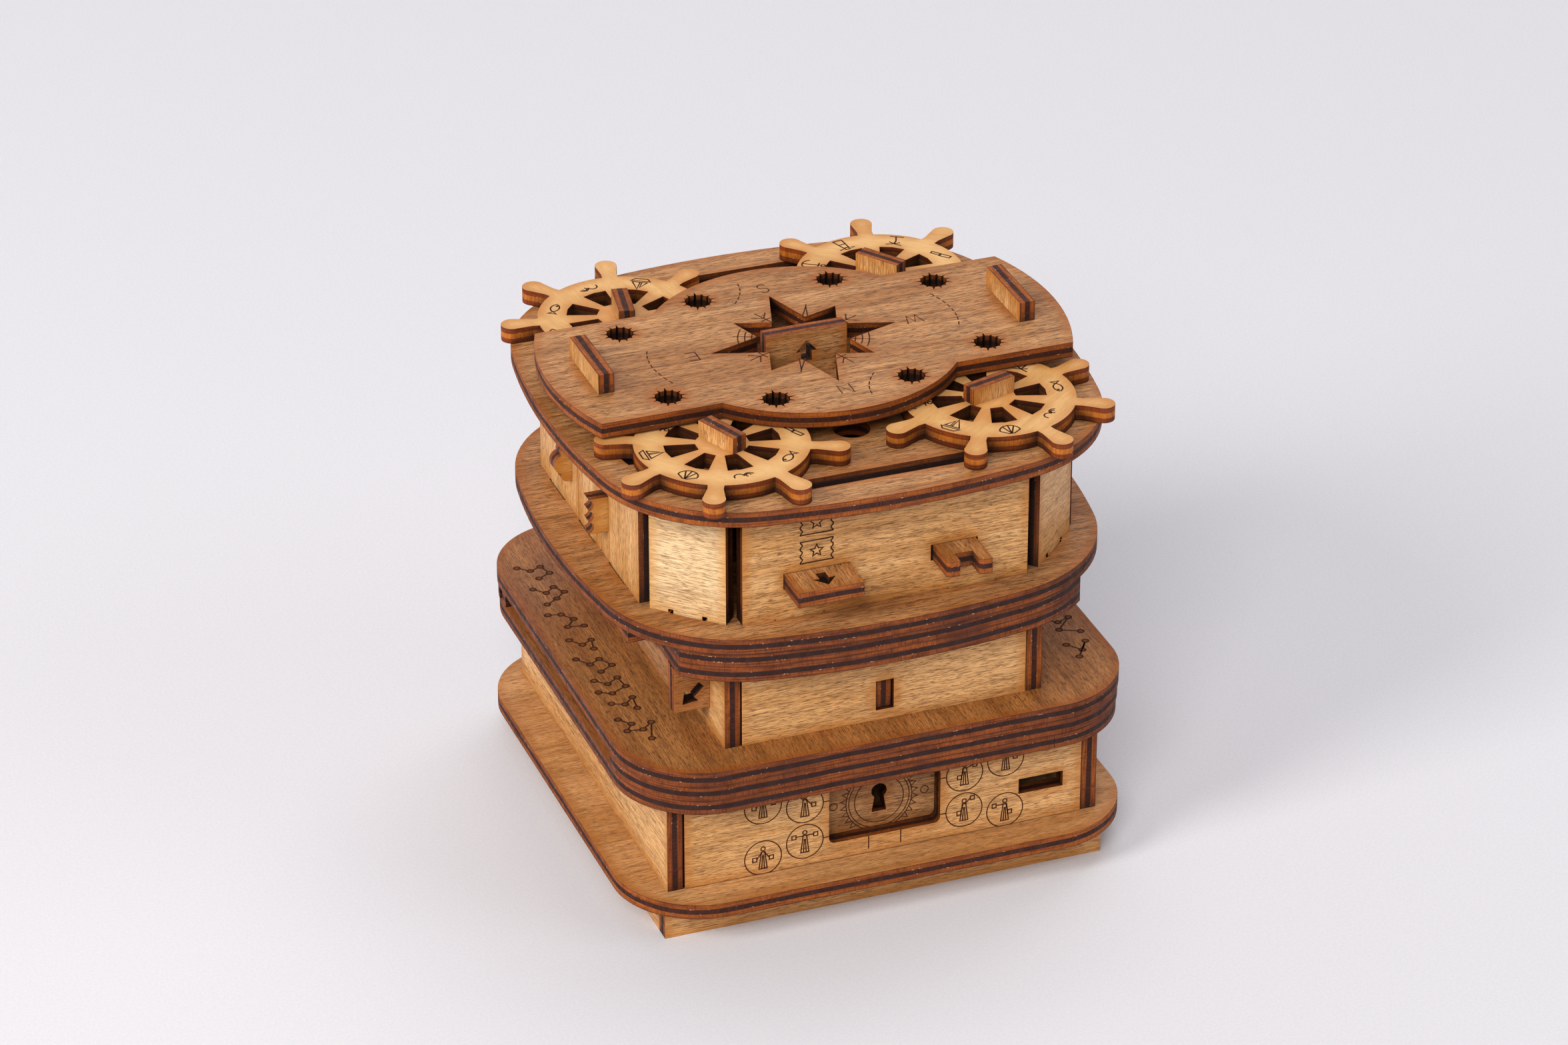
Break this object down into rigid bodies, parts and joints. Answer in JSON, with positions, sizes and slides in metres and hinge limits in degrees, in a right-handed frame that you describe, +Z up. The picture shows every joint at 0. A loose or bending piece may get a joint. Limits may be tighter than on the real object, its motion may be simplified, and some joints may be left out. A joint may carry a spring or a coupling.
{
  "type": "wooden puzzle box",
  "caption": "Tiered plywood puzzle box with a keyhole drawer, sliding key pieces and a lid that carries turning ship's wheels and a compass plate.",
  "frame": {"origin": "on the table, at the centre of the foot", "axes": "+Z up, front with the keyhole towards -Y, +X to the right seen from the front"},
  "size_m": [0.1326, 0.1327, 0.1308],
  "materials": {
    "birch_wheel": "satin pale birch plywood with reddish laser-cut edges",
    "stained_top_ply": "satin honey-brown stained plywood, dark ply edges",
    "stained_wall_ply": "satin honey-brown stained plywood walls",
    "stained_ply": "satin brown stained plywood sheet, dark ply edges",
    "raw_ply": "unstained plywood, dull"
  },
  "bodies": {
    "case": {"base_plate": "stained_ply", "collar_lower": "stained_ply", "collar_middle": "stained_ply", "collar_rail": "stained_ply", "collar_top": "stained_ply", "corner_panel_front_left": "stained_wall_ply", "corner_panel_front_right": "stained_wall_ply", "corner_panel_rear_left": "stained_wall_ply", "corner_panel_rear_right": "stained_wall_ply", "deck_bottom": "stained_ply", "deck_middle": "stained_ply", "deck_top": "stained_ply", "key_rests": "raw_ply", "lower_wall_left": "stained_wall_ply", "lower_wall_rear": "stained_wall_ply", "lower_wall_right": "stained_wall_ply", "middle_wall_front": "stained_wall_ply", "middle_wall_left": "stained_wall_ply", "middle_wall_rear": "stained_wall_ply", "middle_wall_right": "stained_wall_ply", "plinth_ends": "stained_ply", "plinth_sides": "stained_ply", "upper_wall_front": "stained_wall_ply", "upper_wall_left_front": "stained_wall_ply", "upper_wall_left_middle": "stained_wall_ply", "upper_wall_left_rear": "stained_wall_ply", "upper_wall_rear": "stained_wall_ply", "upper_wall_right": "stained_wall_ply"},
    "drawer": {"drawer_front": "stained_wall_ply", "keyhole_plate": "stained_wall_ply", "drawer_floor": "raw_ply", "drawer_sides": "raw_ply", "drawer_back": "raw_ply"},
    "lid": {"lid_plate": "stained_top_ply", "compass_plate": "stained_top_ply", "compass_spacers": "stained_top_ply", "end_tab_left": "stained_top_ply", "end_tab_right": "stained_top_ply"},
    "pointer": {"pointer_plate": "stained_top_ply"},
    "tongue": {"arrow_tongue": "stained_ply"},
    "fork": {"fork_key": "stained_ply"},
    "scallop": {"scallop_key": "stained_ply"},
    "clover": {"clover_key": "stained_ply"},
    "side_arrow": {"side_arrow_plate": "stained_ply", "side_arrow_bar": "stained_ply"},
    "strip": {"slot_strip": "stained_ply"},
    "collar_slide": {"collar_slider": "stained_ply"},
    "deck_end": {"deck_end_piece": "stained_ply"},
    "wheel_front_left": {"wheel_front_left": "birch_wheel", "hub_tab_front_left": "birch_wheel", "spindle_front_left": "raw_ply"},
    "wheel_front_right": {"wheel_front_right": "birch_wheel", "hub_tab_front_right": "birch_wheel", "spindle_front_right": "raw_ply"},
    "wheel_rear_left": {"wheel_rear_left": "birch_wheel", "hub_tab_rear_left": "birch_wheel", "spindle_rear_left": "raw_ply"},
    "wheel_rear_right": {"wheel_rear_right": "birch_wheel", "hub_tab_rear_right": "birch_wheel", "spindle_rear_right": "raw_ply"}
  },
  "joints": [
    {"name": "drawer_slide", "type": "slide", "parent": "case", "child": "drawer", "axis": [0, -1, 0], "range_m": [0, 0.075]},
    {"name": "lid_lift", "type": "slide", "parent": "case", "child": "lid", "axis": [0, 0, 1], "range_m": [0, 0.04]},
    {"name": "pointer_lift", "type": "slide", "parent": "lid", "child": "pointer", "axis": [0, 0, 1], "range_m": [0, 0.0075]},
    {"name": "tongue_slide", "type": "slide", "parent": "case", "child": "tongue", "axis": [0, -1, 0], "range_m": [0, 0.006]},
    {"name": "fork_slide", "type": "slide", "parent": "case", "child": "fork", "axis": [0, -1, 0], "range_m": [0, 0.012]},
    {"name": "scallop_slide", "type": "slide", "parent": "case", "child": "scallop", "axis": [-1, 0, 0], "range_m": [0, 0.006]},
    {"name": "clover_slide", "type": "slide", "parent": "case", "child": "clover", "axis": [-1, 0, 0], "range_m": [0, 0.006]},
    {"name": "side_arrow_slide", "type": "slide", "parent": "case", "child": "side_arrow", "axis": [-1, 0, 0], "range_m": [0, 0.005]},
    {"name": "strip_push", "type": "slide", "parent": "case", "child": "strip", "axis": [0, 1, 0], "range_m": [0, 0.0025]},
    {"name": "collar_slider_slide", "type": "slide", "parent": "case", "child": "collar_slide", "axis": [0, -1, 0], "range_m": [0, 0.012]},
    {"name": "deck_end_slide", "type": "slide", "parent": "case", "child": "deck_end", "axis": [1, 0, 0], "range_m": [0, 0.01]},
    {"name": "wheel_front_left_spin", "type": "hinge", "parent": "lid", "child": "wheel_front_left", "pos_m": [-0.034, -0.0356, 0.119], "axis": [0, 0, 1], "continuous": true},
    {"name": "wheel_front_right_spin", "type": "hinge", "parent": "lid", "child": "wheel_front_right", "pos_m": [0.034, -0.0356, 0.119], "axis": [0, 0, 1], "continuous": true},
    {"name": "wheel_rear_left_spin", "type": "hinge", "parent": "lid", "child": "wheel_rear_left", "pos_m": [-0.034, 0.0356, 0.119], "axis": [0, 0, 1], "continuous": true},
    {"name": "wheel_rear_right_spin", "type": "hinge", "parent": "lid", "child": "wheel_rear_right", "pos_m": [0.034, 0.0356, 0.119], "axis": [0, 0, 1], "continuous": true}
  ]
}
